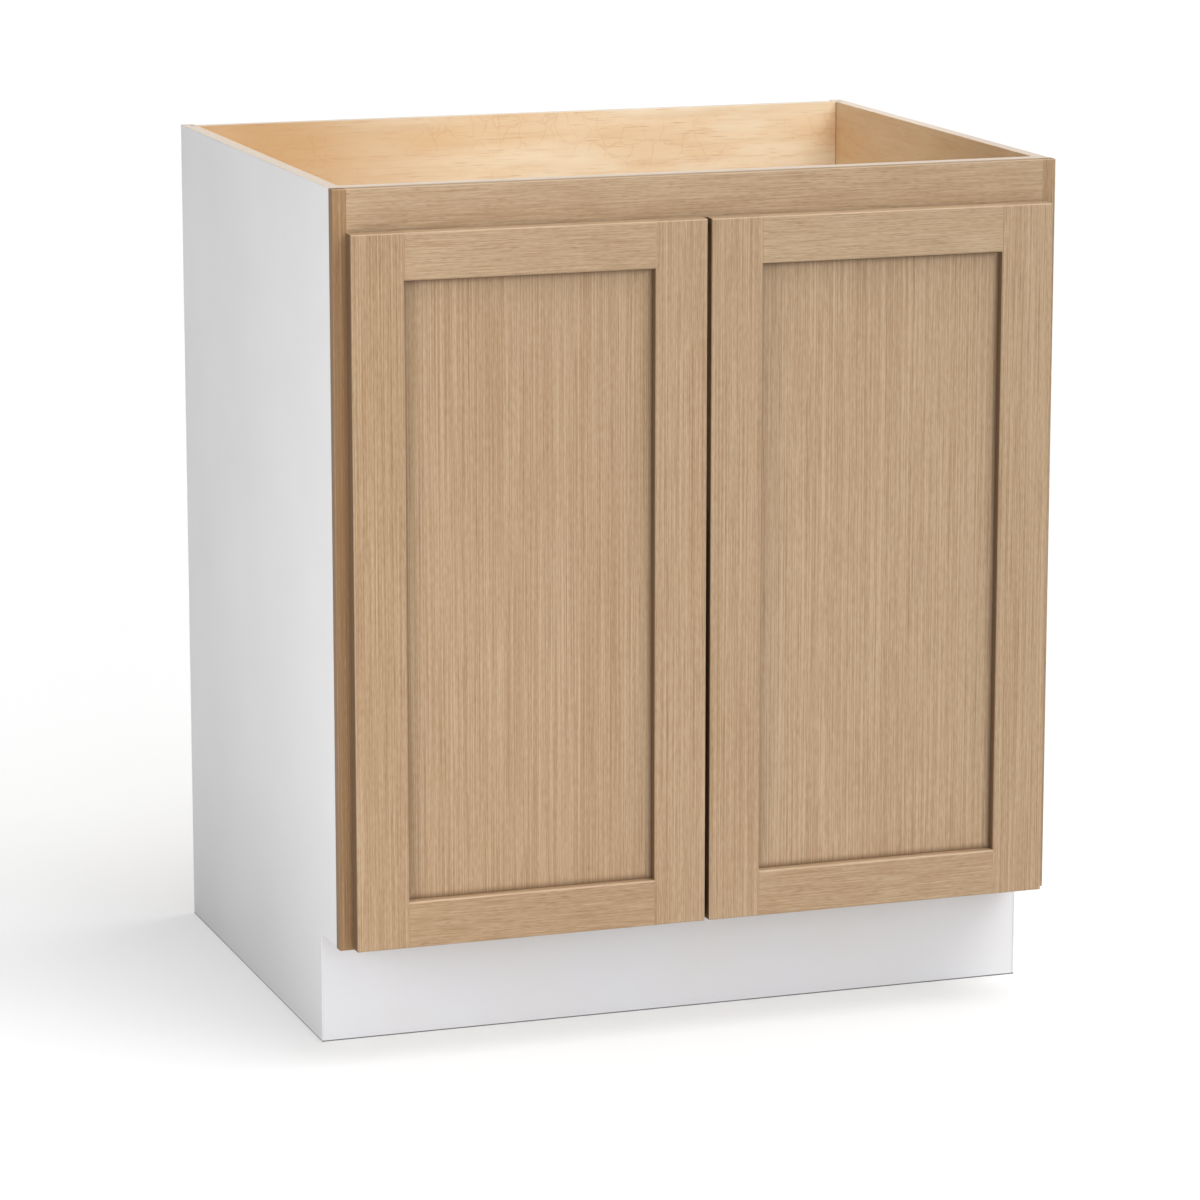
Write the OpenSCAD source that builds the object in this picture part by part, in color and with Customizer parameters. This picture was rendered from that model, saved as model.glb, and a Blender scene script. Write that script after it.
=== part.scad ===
// Kitchen base cabinet: a plywood box with a white outside, an oak face frame and two
// five-piece oak doors on concealed single-pivot hinges. Millimetres, +Z up, the doors face -Y.
// The origin is on the floor, at the middle of the box that the whole cabinet fills.

/* [Cabinet] */
// Overall width across the side panels
cabinet_w = 762; // [620:1:914]
// Height from the floor to the top of the box
cabinet_h = 876.3; // [780:0.1:940]
// Depth of the box, from the front of the face frame to the rear edges of the sides
box_d = 588; // [480:1:680]

/* [Side panels] */
// Thickness of a side panel's plywood core
side_t = 12.5; // [11:0.5:19]
// Thickness of the white skin outside the core
skin_t = 1.5; // [0.8:0.1:3]
// Depth of the grooves that hold the deck and the back
dado_depth = 6; // [3:0.5:8]
// Air left between a groove's bottom and the panel's end
dado_void = 1.5; // [0.2:0.1:2]

/* [Toe kick] */
// Height of the toe space
toe_h = 114.3; // [90:0.1:140]
// Distance from the front of the face frame back to the toe board
toe_recess = 70; // [50:1:90]
// Thickness of the toe board
toe_board_t = 12; // [9:0.5:18]

/* [Back and deck] */
// Thickness of the back panel
back_t = 12; // [6:0.5:16]
// Distance from the rear edges of the sides in to the back panel
back_inset = 9; // [3:0.5:20]
// Thickness of the bottom deck
deck_t = 12; // [9:0.5:18]
// Side of the square cleat under the rear of the deck
cleat_side = 20; // [14:1:30]

/* [Face frame] */
// Thickness of the face frame
frame_t = 12.7; // [10:0.1:20]
// Visible height of the top rail above the doors
top_reveal = 42; // [30:0.5:60]
// Height of the top rail behind the doors
top_rail_lap = 18; // [12:1:30]
// Height of the bottom rail
bottom_rail_h = 38; // [30:1:60]
// Thickness of the plywood stretcher behind the top rail
stretcher_t = 16; // [12:0.5:19]
// Width of the small bevel along the front edges of the frame
frame_ease = 0.8; // [0.4:0.1:1.5]

/* [Doors] */
// Thickness of a door's stiles and rails
door_t = 19; // [18:0.5:22]
// Gap between the back of a door and the face frame
door_gap = 3; // [2.9:0.1:4]
// Strip of the frame left bare beside a door
side_reveal = 12; // [9:0.5:13]
// Strip of the frame left bare below a door
bottom_reveal = 3; // [1:0.5:6]
// Gap between the two doors
meeting_gap = 4.8; // [3:0.1:6]
// Width of a door's stiles
door_stile_w = 54; // [52:1:80]
// Width of a door's rails
door_rail_w = 47; // [40:1:80]
// Thickness of a door's centre panel
panel_t = 6; // [4:0.5:6]
// Distance from the front of a door back to its centre panel
panel_recess = 10.5; // [7:0.5:11]
// Depth of the groove that holds the centre panel
panel_groove = 9.5; // [7:0.5:12]
// Play of the centre panel across its groove
panel_play = 0.15; // [0.05:0.05:0.3]
// Width of the bevel round the panel opening
opening_ease = 2; // [1:0.1:3]
// Width of the bevel round the outside of a door
door_ease = 1.2; // [0.5:0.1:2]

/* [Hinges] */
// Distance from a door's end to the middle of its hinge
hinge_inset = 90; // [75:1:140]
// Radius of the hinge cup
cup_r = 17.5; // [17:0.1:17.6]
// Depth of the hinge cup
cup_depth = 12.8; // [12.4:0.1:13.5]
// Thickness of the cup's pressed steel
cup_wall = 0.8; // [0.6:0.1:1]
// Wood left between the door's edge and the cup
cup_edge = 3; // [2.8:0.1:3.2]
// Thickness of the cup's flange
flange_t = 1; // [0.8:0.1:1.2]
// Distance from the door's edge to the pivot pin
pivot_edge = 7.2; // [7:0.05:7.2]
// Distance from the back of the door forward to the pivot pin
pivot_depth = 8; // [8:0.1:8.4]
// Radius of the pivot pin
pivot_r = 1.2; // [1:0.05:1.3]
// Radial play of the pivot pin in the arm's eye
pivot_play = 0.06; // [0.03:0.01:0.09]
// Outside radius of the arm's eye
eye_r = 2.2; // [2:0.05:2.25]
// Thickness of the hinge arm
arm_t = 1.8; // [1.4:0.1:2]
// Height of the hinge arm
arm_h = 10; // [8:0.5:10]
// Distance from the pivot pin inwards to the arm's neck
neck_reach = 16; // [15:0.5:18]
// Thickness of the mounting plate
plate_t = 3; // [2.5:0.1:4]
// Distance from the front of the frame back to the plate's screws
plate_screw_y = 50; // [46:1:60]
// Vertical distance between the plate's two screws
plate_screw_pitch = 32; // [28:1:36]

/* [Shelf] */
// Thickness of the adjustable shelf
shelf_t = 18; // [15:0.5:20]
// Depth of the adjustable shelf
shelf_d = 430; // [250:5:440]
// Play of the shelf at each side panel
shelf_play = 1.5; // [0.8:0.1:2]
// Radius of a shelf pin
shelf_pin_r = 2.5; // [2:0.1:3]
// Pitch of the shelf pin holes
shelf_hole_pitch = 32; // [25:1:40]
// Shelf pin holes in one row
shelf_holes = 7; // [3:2:9]
// Height of the middle shelf pin hole
shelf_hole_mid_z = 490; // [420:1:540]
// Distance from the shelf's front edge back to the front row of holes
shelf_row_front = 40; // [30:1:60]
// Distance from the back panel forward to the rear row of holes
shelf_row_rear = 60; // [40:1:80]

/* [Corner braces] */
// Length of a corner brace along each wall
brace_leg = 80; // [60:1:100]
// Drop of the braces below the top of the box
brace_drop = 26; // [22:1:40]
// Thickness of a brace's web and flanges
brace_t = 3; // [2.5:0.1:4]
// Height of a brace's flanges
brace_h = 22; // [20:1:30]
// Radius of the worktop screw hole
worktop_hole_r = 2.6; // [2:0.1:3]
// Distance from each wall to the worktop screw hole
worktop_hole_in = 26; // [22:1:28]

/* [Screws] */
// Shank radius of the wood screws
screw_r = 1.8; // [1.5:0.1:2]
// Head radius of the wood screws
screw_head_r = 3.6; // [3:0.1:4]
// Head height of the wood screws
screw_head_h = 1.6; // [1.2:0.1:2]
// Length of a wood screw's shank in the wood
screw_grip = 10; // [7:0.5:10]
// Radial play of a screw, pin or cup in its hole
hole_play = 0.1; // [0.05:0.01:0.15]

/* [Hidden] */
$fn = 48;
cut = 1;

overall_d = box_d + door_gap + door_t;
frame_y = -overall_d / 2 + door_t + door_gap;

// The places below are measured with y = 0 at the front of the face frame. x is for the left side.
outer_x = -cabinet_w / 2;
core_x = outer_x + skin_t;
inner_x = core_x + side_t;
frame_stile_w = skin_t + side_t;
back_y = box_d - back_inset - back_t;
deck_top = toe_h + bottom_rail_h;
deck_z = deck_top - deck_t;
panel_end_x = inner_x - dado_depth + dado_void;
toe_back_y = toe_recess + toe_board_t;
top_rail_h = top_reveal + top_rail_lap;

door_x = outer_x + side_reveal;
door_w = cabinet_w / 2 - side_reveal - meeting_gap / 2;
door_z = toe_h + bottom_reveal;
door_h = cabinet_h - top_reveal - door_z;
door_back = -door_gap;
door_front = door_back - door_t;
panel_front = door_front + panel_recess;
opening_x = door_x + door_stile_w;
opening_w = door_w - 2 * door_stile_w;
opening_z = door_z + door_rail_w;
opening_h = door_h - 2 * door_rail_w;
panel_fit = 0.5;
joint_skin = 0.01;

hinge_z = [door_z + hinge_inset, door_z + door_h - hinge_inset];
cup_x = door_x + cup_edge + cup_r;
pivot_x = door_x + pivot_edge;
pivot_y = door_back - pivot_depth;
// The pin ends just inside the cup's wall, and its lugs fill the space on each side of the arm.
pin_end_gap = 0.4;
pivot_half = sqrt(cup_r ^ 2 - (cup_x - pivot_x + pivot_r) ^ 2) - pin_end_gap;
lug_r = 2.4;
lug_play = 0.4;
lug_t = cup_r - arm_h / 2 - lug_play;
lug_mid_z = arm_h / 2 + lug_play + lug_t / 2;
cup_screw_dx = 9.5;
cup_screw_dz = 22.5;
flange_left = -8;
flange_right = 15;
flange_dz = 28.5;
// A plate is a bar under the arm, with a wing above and below it for the plate's two screws.
plate_x = inner_x + plate_t;
plate_bar_dz = 7;
plate_bar_ahead = 29;
plate_bar_behind = 16;
plate_wing_dy = 8;
plate_wing_rim = 9;
plate_wing_dz = plate_screw_pitch / 2 + plate_wing_rim;
plate_front_y = plate_screw_y - plate_bar_ahead;
plate_rear_y = plate_screw_y + plate_bar_behind;
arm_end_in = 2;
arm_front_y = plate_front_y + arm_end_in;
arm_rear_y = plate_rear_y - arm_end_in;
arm_screw_behind = 6;
arm_screw_y = plate_screw_y + arm_screw_behind;
arm_screw_r = 2;

shelf_front_y = back_y - shelf_d;
shelf_rows = [shelf_front_y + shelf_row_front, back_y - shelf_row_rear];
shelf_hole_r = shelf_pin_r + hole_play;
shelf_hole_floor = 3.5;
shelf_hole_depth = side_t - shelf_hole_floor;
pin_tongue_l = 11;
pin_tongue_w = 8;
pin_tongue_t = 2;
pin_collar_r = 4;
pin_collar_t = 1;
shelf_z = shelf_hole_mid_z + shelf_pin_r;

brace_top = cabinet_h - brace_drop;
brace_front_y = frame_t + stretcher_t;
brace_screw_share = 0.7;
brace_screw_in = brace_leg * brace_screw_share;
brace_screw_drop = 2;
brace_screw_z = brace_top - brace_h / 2 - brace_screw_drop;
pilot_over = 0.5;
pilot_depth = screw_grip + pilot_over;

bumper_r = 5;
bumper_play = 0.3;
bumper_in = 12;

function unit(v) = v / norm(v);
function left_of(v) = [-v[1], v[0]];
function run(p, i) = unit(p[i] - p[i - 1]);

// The mitre at point i of a path, for an edge one unit to its left.
function mitre(p, i) =
    let (last = len(p) - 1,
         a = left_of(run(p, max(i, 1))),
         b = left_of(run(p, min(i + 1, last))),
         n = unit(a + b))
    n / (n * a);

// A strip of even width along a path of points.
module ribbon(p, w) {
    polygon(concat(
        [for (i = [0:len(p) - 1]) p[i] + mitre(p, i) * w / 2],
        [for (i = [len(p) - 1:-1:0]) p[i] - mitre(p, i) * w / 2]));
}

// Carries a piece from the front of the face frame to its place round the origin.
module in_cabinet() {
    translate([0, frame_y, 0]) children();
}

module on_right() {
    mirror([1, 0, 0]) children();
}

// A box given by its lowest and highest corners.
module box(a, b) {
    translate(a) cube(b - a);
}

// One outline of a block whose front narrows by inset over depth, or widens if inset is negative.
function bevel_outline(lo, hi, front, back, depth, inset) = [
    [lo, back], [lo, front + depth], [lo + inset, front],
    [hi - inset, front], [hi, front + depth], [hi, back],
];

// A box whose four front edges are bevelled: the same outline, seen from above and from the side.
module bevelled_box(a, b, depth, inset) {
    spread = max(0, -inset);
    plan = bevel_outline(a[0], b[0], a[1], b[1], depth, inset);
    side = bevel_outline(a[2], b[2], a[1], b[1], depth, inset);
    intersection() {
        translate([0, 0, a[2] - spread]) linear_extrude(b[2] - a[2] + 2 * spread)
            polygon(plan);
        translate([a[0] - spread, 0, 0]) rotate([90, 0, 90])
            linear_extrude(b[0] - a[0] + 2 * spread) polygon([for (p = side) [p[1], p[0]]]);
    }
}

module rod_x(r, h) {
    rotate([0, 90, 0]) cylinder(r = r, h = h);
}

module rod_forward(r, h) {
    rotate([90, 0, 0]) cylinder(r = r, h = h);
}

// The outline of a side, seen from the left, with the toe space cut out below its front.
module side_outline(notch_y) {
    polygon([
        [frame_t, toe_h], [notch_y, toe_h], [notch_y, 0], [box_d, 0],
        [box_d, cabinet_h], [frame_t, cabinet_h],
    ]);
}

module side_sheet(x, t, notch_y) {
    translate([x, 0, 0]) rotate([90, 0, 90]) linear_extrude(t) side_outline(notch_y);
}

module shelf_hole_row(y) {
    first = shelf_hole_mid_z - (shelf_holes - 1) / 2 * shelf_hole_pitch;
    for (k = [0:shelf_holes - 1])
        translate([inner_x - shelf_hole_depth, y, first + k * shelf_hole_pitch])
            rod_x(shelf_hole_r, shelf_hole_depth + cut);
}

module side_panel() {
    color("burlywood") in_cabinet() difference() {
        side_sheet(core_x, side_t, toe_back_y);
        box([inner_x - dado_depth, frame_t - cut, deck_z],
            [inner_x + cut, back_y + cut, deck_top]);
        box([inner_x - dado_depth, back_y, -cut],
            [inner_x + cut, back_y + back_t, cabinet_h + cut]);
        for (y = shelf_rows)
            shelf_hole_row(y);
        for (z = hinge_z, side = [-1, 1])
            translate([inner_x - pilot_depth, plate_screw_y, z + side * plate_screw_pitch / 2])
                rod_x(screw_r + hole_play, pilot_depth + cut);
        translate([inner_x - pilot_depth, brace_front_y + brace_screw_in, brace_screw_z])
            rod_x(screw_r + hole_play, pilot_depth + cut);
    }
}

module side_skin() {
    color("white") in_cabinet() side_sheet(outer_x, skin_t, toe_recess);
}

module back_panel() {
    color("wheat") in_cabinet()
        box([panel_end_x, back_y, 0], [-panel_end_x, back_y + back_t, cabinet_h]);
}

module bottom_deck() {
    color("wheat") in_cabinet()
        box([panel_end_x, frame_t, deck_z], [-panel_end_x, back_y, deck_top]);
}

module rear_deck_cleat() {
    color("burlywood") in_cabinet()
        box([inner_x, back_y - cleat_side, deck_z - cleat_side], [-inner_x, back_y, deck_z]);
}

// The board stands on the floor between the skins and rises to the deck between the cores.
module toe_kick_board() {
    color("white") in_cabinet() {
        box([core_x, toe_recess, 0], [-core_x, toe_back_y, toe_h]);
        box([inner_x, toe_recess, toe_h], [-inner_x, toe_back_y, deck_z]);
    }
}

module front_stretcher() {
    color("burlywood") in_cabinet() difference() {
        box([inner_x, frame_t, cabinet_h - top_rail_h],
            [-inner_x, frame_t + stretcher_t, cabinet_h]);
        for (side = [-1, 1])
            translate([side * (inner_x + brace_screw_in), brace_front_y + cut, brace_screw_z])
                rod_forward(screw_r + hole_play, pilot_depth + cut);
    }
}

module frame_board(a, b) {
    bevelled_box([a[0], 0, a[1]], [b[0], frame_t, b[1]], frame_ease, frame_ease);
}

module frame_stile() {
    color("tan") in_cabinet()
        frame_board([outer_x, toe_h], [outer_x + frame_stile_w, cabinet_h]);
}

module frame_top_rail() {
    color("tan") in_cabinet()
        frame_board([inner_x, cabinet_h - top_rail_h], [-inner_x, cabinet_h]);
}

module frame_bottom_rail() {
    color("tan") in_cabinet()
        frame_board([inner_x, toe_h], [-inner_x, deck_top]);
}

module adjustable_shelf() {
    color("wheat") in_cabinet()
        box([inner_x + shelf_play, shelf_front_y, shelf_z],
            [-inner_x - shelf_play, back_y - shelf_play, shelf_z + shelf_t]);
}

// A pin in its hole, with a collar against the side and a flat tongue under the shelf.
module shelf_pin() {
    translate([-shelf_hole_depth, 0, 0]) rod_x(shelf_pin_r, shelf_hole_depth);
    rod_x(pin_collar_r, pin_collar_t);
    box([0, -pin_tongue_w / 2, shelf_pin_r - pin_tongue_t],
        [pin_tongue_l, pin_tongue_w / 2, shelf_pin_r]);
}

module shelf_pin_pair() {
    for (y = shelf_rows)
        translate([inner_x, y, shelf_hole_mid_z]) difference() {
            shelf_pin();
            translate([0, 0, shelf_pin_r])
                box([shelf_play - joint_skin, -pin_collar_r, 0],
                    [pin_tongue_l, pin_collar_r, pin_collar_r]);
        }
}

module shelf_pins() {
    color("silver") in_cabinet() {
        shelf_pin_pair();
        on_right() shelf_pin_pair();
    }
}

// A moulded corner brace: a three-cornered web with a flange on each of the two walls.
module corner_brace() {
    color("gainsboro") in_cabinet() translate([inner_x, brace_front_y, 0]) difference() {
        union() {
            translate([0, 0, brace_top - brace_t]) linear_extrude(brace_t)
                polygon([[0, 0], [brace_leg, 0], [brace_leg, brace_t], [brace_t, brace_leg],
                         [0, brace_leg]]);
            box([0, 0, brace_top - brace_h], [brace_t, brace_leg, brace_top]);
            box([0, 0, brace_top - brace_h], [brace_leg, brace_t, brace_top]);
        }
        translate([worktop_hole_in, worktop_hole_in, brace_top - brace_t - cut])
            cylinder(r = worktop_hole_r, h = brace_t + 2 * cut);
        translate([-cut, brace_screw_in, brace_screw_z])
            rod_x(screw_r + hole_play, brace_t + 2 * cut);
        translate([brace_screw_in, brace_t + cut, brace_screw_z])
            rod_forward(screw_r + hole_play, brace_t + 2 * cut);
    }
}

// A pan-head screw along +X: its head's underside is at x = 0 and its shank points to -X.
module screw(grip) {
    rod_x(screw_head_r, screw_head_h);
    translate([-grip, 0, 0]) rod_x(screw_r, grip);
}

module brace_screw_pair() {
    translate([inner_x + brace_t, brace_front_y + brace_screw_in, brace_screw_z])
        screw(brace_t + screw_grip);
    translate([inner_x + brace_screw_in, brace_front_y + brace_t, brace_screw_z])
        rotate([0, 0, 90]) screw(brace_t + screw_grip);
}

module corner_brace_screws() {
    color("silver") in_cabinet() {
        brace_screw_pair();
        on_right() brace_screw_pair();
    }
}

module hinge_plate() {
    difference() {
        union() {
            box([inner_x, plate_front_y, -plate_bar_dz], [plate_x, plate_rear_y, plate_bar_dz]);
            box([inner_x, plate_screw_y - plate_wing_dy, -plate_wing_dz],
                [plate_x, plate_screw_y + plate_wing_dy, plate_wing_dz]);
        }
        for (side = [-1, 1])
            translate([inner_x - cut, plate_screw_y, side * plate_screw_pitch / 2])
                rod_x(screw_r + hole_play, plate_t + 2 * cut);
        translate([inner_x - cut, arm_screw_y, 0])
            rod_x(arm_screw_r + hole_play, plate_t + 2 * cut);
    }
}

module hinge_plates() {
    color("silver") in_cabinet()
        for (z = hinge_z)
            translate([0, 0, z]) hinge_plate();
}

module hinge_plate_screw_set() {
    for (z = hinge_z, side = [-1, 1])
        translate([plate_x, plate_screw_y, z + side * plate_screw_pitch / 2])
            screw(plate_t + screw_grip);
}

module hinge_plate_screws() {
    color("silver") in_cabinet() {
        hinge_plate_screw_set();
        on_right() hinge_plate_screw_set();
    }
}

// The arm leaves the pin towards the door's middle, turns back out of the cup, passes
// behind the frame's edge and lies along the mounting plate.
arm_lie_x = plate_x + arm_t / 2;
neck_x = pivot_x + neck_reach;
arm_path = [
    [pivot_x, pivot_y],
    [neck_x - 6, pivot_y - 2],
    [neck_x - 2.6, pivot_y - 1.2],
    [neck_x - 0.6, pivot_y + 1.4],
    [neck_x, pivot_y + 5],
    [neck_x, 2],
    [neck_x - 1.4, 6],
    [neck_x - 5, 9.5],
    [arm_lie_x + 4, arm_front_y - 5],
    [arm_lie_x + 1, arm_front_y - 2],
    [arm_lie_x, arm_front_y + 1],
    [arm_lie_x, arm_rear_y],
];

module hinge_arm() {
    difference() {
        union() {
            translate([0, 0, -arm_h / 2]) linear_extrude(arm_h) ribbon(arm_path, arm_t);
            translate([pivot_x, pivot_y, -arm_h / 2]) cylinder(r = eye_r, h = arm_h);
        }
        translate([pivot_x, pivot_y, -arm_h / 2 - cut])
            cylinder(r = pivot_r + pivot_play, h = arm_h + 2 * cut);
        translate([plate_x - cut, arm_screw_y, 0])
            rod_x(arm_screw_r + hole_play, arm_t + 2 * cut);
    }
}

module hinge_arms() {
    color("silver") in_cabinet()
        for (z = hinge_z)
            translate([0, 0, z]) hinge_arm();
}

module hinge_arm_screw_pair() {
    for (z = hinge_z)
        translate([plate_x + arm_t, arm_screw_y, z]) {
            rod_x(screw_head_r, screw_head_h);
            translate([-arm_t - plate_t, 0, 0]) rod_x(arm_screw_r, arm_t + plate_t);
        }
}

module hinge_arm_screws() {
    color("silver") in_cabinet() {
        hinge_arm_screw_pair();
        on_right() hinge_arm_screw_pair();
    }
}

// A pressed cup with two lugs on its floor that hold the pivot pin on each side of the arm.
module hinge_cup() {
    difference() {
        union() {
            translate([cup_x, door_back, 0]) rod_forward(cup_r, cup_depth);
            box([cup_x + flange_left, door_back, -flange_dz],
                [cup_x + flange_right, door_back + flange_t, flange_dz]);
        }
        difference() {
            translate([cup_x, door_back + flange_t + cut, 0])
                rod_forward(cup_r - cup_wall, cup_depth - cup_wall + flange_t + cut);
            for (side = [-1, 1])
                box([pivot_x - lug_r, door_back - cup_depth, side * lug_mid_z - lug_t / 2],
                    [pivot_x + lug_r, pivot_y + lug_r, side * lug_mid_z + lug_t / 2]);
        }
        translate([pivot_x, pivot_y, -cup_r])
            cylinder(r = pivot_r + joint_skin, h = 2 * cup_r);
        for (side = [-1, 1])
            translate([cup_x + cup_screw_dx, door_back + flange_t + cut, side * cup_screw_dz])
                rod_forward(screw_r + hole_play, flange_t + 2 * cut);
    }
}

module hinge_cups() {
    color("silver") in_cabinet()
        for (z = hinge_z)
            translate([0, 0, z]) hinge_cup();
}

module hinge_pins() {
    color("silver") in_cabinet()
        for (z = hinge_z)
            translate([pivot_x, pivot_y, z - pivot_half])
                cylinder(r = pivot_r, h = 2 * pivot_half);
}

module hinge_cup_screws() {
    color("silver") in_cabinet()
        for (z = hinge_z, side = [-1, 1])
            translate([cup_x + cup_screw_dx, door_back + flange_t, z + side * cup_screw_dz])
                rotate([0, 0, 90]) screw(flange_t + screw_grip);
}

module door_bumpers() {
    color("lightgray") in_cabinet()
        for (z = [door_z + bumper_in, door_z + door_h - bumper_in])
            translate([door_x + door_w - bumper_in, -bumper_play, z])
                rod_forward(bumper_r, door_gap - bumper_play);
}

// The whole door as one block.
module door_block() {
    bevelled_box([door_x, door_front, door_z], [door_x + door_w, door_back, door_z + door_h],
        door_ease, door_ease);
}

// What the panel opening takes out of the door, with its bevel at the front.
module door_opening() {
    flare = opening_ease + cut;
    bevelled_box([opening_x, door_front - cut, opening_z],
        [opening_x + opening_w, door_back + cut, opening_z + opening_h], flare, -flare);
}

// The space of the panel and its grooves, grown by play across the thickness.
module panel_space(play, into) {
    box([opening_x - into, panel_front - play, opening_z - into],
        [opening_x + opening_w + into, panel_front + panel_t + play,
         opening_z + opening_h + into]);
}

module door_stile(x) {
    difference() {
        intersection() {
            door_block();
            box([x, door_front - cut, door_z - cut],
                [x + door_stile_w, door_back + cut, door_z + door_h + cut]);
        }
        door_opening();
        panel_space(panel_play, panel_groove);
        box([opening_x - panel_groove, panel_front - panel_play, door_z - cut],
            [opening_x + opening_w + panel_groove, panel_front + panel_t + panel_play,
             door_z + door_h + cut]);
    }
}

module door_hinge_stile() {
    color("tan") in_cabinet() difference() {
        door_stile(door_x);
        for (z = hinge_z) {
            translate([cup_x, door_back + cut, z])
                rod_forward(cup_r + hole_play, cup_depth + hole_play + cut);
            for (side = [-1, 1])
                translate([cup_x + cup_screw_dx, door_back + cut, z + side * cup_screw_dz])
                    rod_forward(screw_r + hole_play, pilot_depth + cut);
        }
    }
}

module door_meeting_stile() {
    color("tan") in_cabinet() door_stile(opening_x + opening_w);
}

// A rail, with a tongue at each end that fills the stile's groove.
module door_rail(z) {
    difference() {
        intersection() {
            door_block();
            union() {
                box([opening_x, door_front - cut, z],
                    [opening_x + opening_w, door_back + cut, z + door_rail_w]);
                box([opening_x - panel_groove + panel_fit, panel_front, z],
                    [opening_x + opening_w + panel_groove - panel_fit, panel_front + panel_t,
                     z + door_rail_w]);
            }
        }
        door_opening();
        panel_space(panel_play, panel_groove);
    }
}

module door_top_rail() {
    color("tan") in_cabinet() door_rail(opening_z + opening_h);
}

module door_bottom_rail() {
    color("tan") in_cabinet() door_rail(door_z);
}

module door_panel() {
    color("tan") in_cabinet() panel_space(0, panel_groove - panel_fit);
}

side_panel();  // left_side_panel
on_right() side_panel();  // right_side_panel
side_skin();  // left_side_skin
on_right() side_skin();  // right_side_skin
back_panel();
bottom_deck();
rear_deck_cleat();
toe_kick_board();
front_stretcher();
frame_stile();  // left_frame_stile
on_right() frame_stile();  // right_frame_stile
frame_top_rail();
frame_bottom_rail();
adjustable_shelf();
shelf_pins();
corner_brace();  // left_corner_brace
on_right() corner_brace();  // right_corner_brace
corner_brace_screws();
hinge_plates();  // left_hinge_plates
on_right() hinge_plates();  // right_hinge_plates
hinge_plate_screws();
hinge_arms();  // left_hinge_arms
on_right() hinge_arms();  // right_hinge_arms
hinge_arm_screws();
door_hinge_stile();  // left_door_hinge_stile
door_meeting_stile();  // left_door_meeting_stile
door_top_rail();  // left_door_top_rail
door_bottom_rail();  // left_door_bottom_rail
door_panel();  // left_door_panel
hinge_cups();  // left_hinge_cups
hinge_pins();  // left_hinge_pins
hinge_cup_screws();  // left_hinge_cup_screws
door_bumpers();  // left_door_bumpers
on_right() door_hinge_stile();  // right_door_hinge_stile
on_right() door_meeting_stile();  // right_door_meeting_stile
on_right() door_top_rail();  // right_door_top_rail
on_right() door_bottom_rail();  // right_door_bottom_rail
on_right() door_panel();  // right_door_panel
on_right() hinge_cups();  // right_hinge_cups
on_right() hinge_pins();  // right_hinge_pins
on_right() hinge_cup_screws();  // right_hinge_cup_screws
on_right() door_bumpers();  // right_door_bumpers
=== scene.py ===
# %% [markdown]
# A kitchen base cabinet: a plywood box with a white outside, an oak face frame, and two
# framed oak doors. The construction is finished before this script starts. Its solids are
# loaded as a frame that nothing here moves, and this lesson gives them their looks:
# machined edges that catch light, grain, plies, lacquer and plated steel.

import math
from itertools import count

import bmesh
import bpy
import numpy as np
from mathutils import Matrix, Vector


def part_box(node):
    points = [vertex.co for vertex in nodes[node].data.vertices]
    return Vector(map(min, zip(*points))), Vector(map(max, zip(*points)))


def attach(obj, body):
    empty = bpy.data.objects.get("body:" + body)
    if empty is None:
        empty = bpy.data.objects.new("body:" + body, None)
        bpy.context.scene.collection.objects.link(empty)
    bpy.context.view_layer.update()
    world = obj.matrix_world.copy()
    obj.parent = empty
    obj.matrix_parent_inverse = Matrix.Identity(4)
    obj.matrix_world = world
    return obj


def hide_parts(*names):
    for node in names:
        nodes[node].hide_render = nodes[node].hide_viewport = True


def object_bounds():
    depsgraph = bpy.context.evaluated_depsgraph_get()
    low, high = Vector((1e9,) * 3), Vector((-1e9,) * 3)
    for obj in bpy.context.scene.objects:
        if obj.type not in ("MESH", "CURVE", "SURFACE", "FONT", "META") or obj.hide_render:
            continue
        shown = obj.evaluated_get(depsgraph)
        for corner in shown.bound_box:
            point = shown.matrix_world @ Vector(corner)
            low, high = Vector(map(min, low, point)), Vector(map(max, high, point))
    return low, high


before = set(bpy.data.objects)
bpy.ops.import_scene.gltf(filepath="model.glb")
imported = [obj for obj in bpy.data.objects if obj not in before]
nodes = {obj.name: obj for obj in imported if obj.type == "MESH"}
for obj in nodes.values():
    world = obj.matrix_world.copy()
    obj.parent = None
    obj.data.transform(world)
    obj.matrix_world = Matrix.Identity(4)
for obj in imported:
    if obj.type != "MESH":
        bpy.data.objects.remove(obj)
cad_low, cad_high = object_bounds()
MM = 0.001
floor_z = cad_low.z
print(len(nodes), "nodes, size in mm:", [round(v / MM, 1) for v in cad_high - cad_low])

# %% [markdown]
# The camera comes first, because everything is judged through it. The photograph was taken
# from the left of the doors, a little above them, with a long lens. Its focal length and
# place were fitted to the cabinet's corners at the sizes that the solids have, so the
# picture and the object agree without any scaling.

# %% The camera
SENSOR_WIDTH = 36.0
PHOTO_SIDE = 1200
FOCAL_PIXELS = 5006
FARTHEST = 200
VIEW_AZIMUTH, VIEW_ELEVATION = -19.0, 11.9
VIEW_DISTANCE = 5.31
VIEW_AIM = Vector((-0.010, 0.0, 0.390))


def toward(azimuth, elevation):
    """The direction from the cabinet at these angles, in degrees. Azimuth counts from the
    doors' front, positive to the right."""
    a, e = math.radians(azimuth), math.radians(elevation)
    return Vector((math.sin(a) * math.cos(e), -math.cos(a) * math.cos(e), math.sin(e)))


def in_scene(name, data):
    """A new object with its data, linked into the scene."""
    made = bpy.data.objects.new(name, data)
    bpy.context.scene.collection.objects.link(made)
    return made


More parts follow.
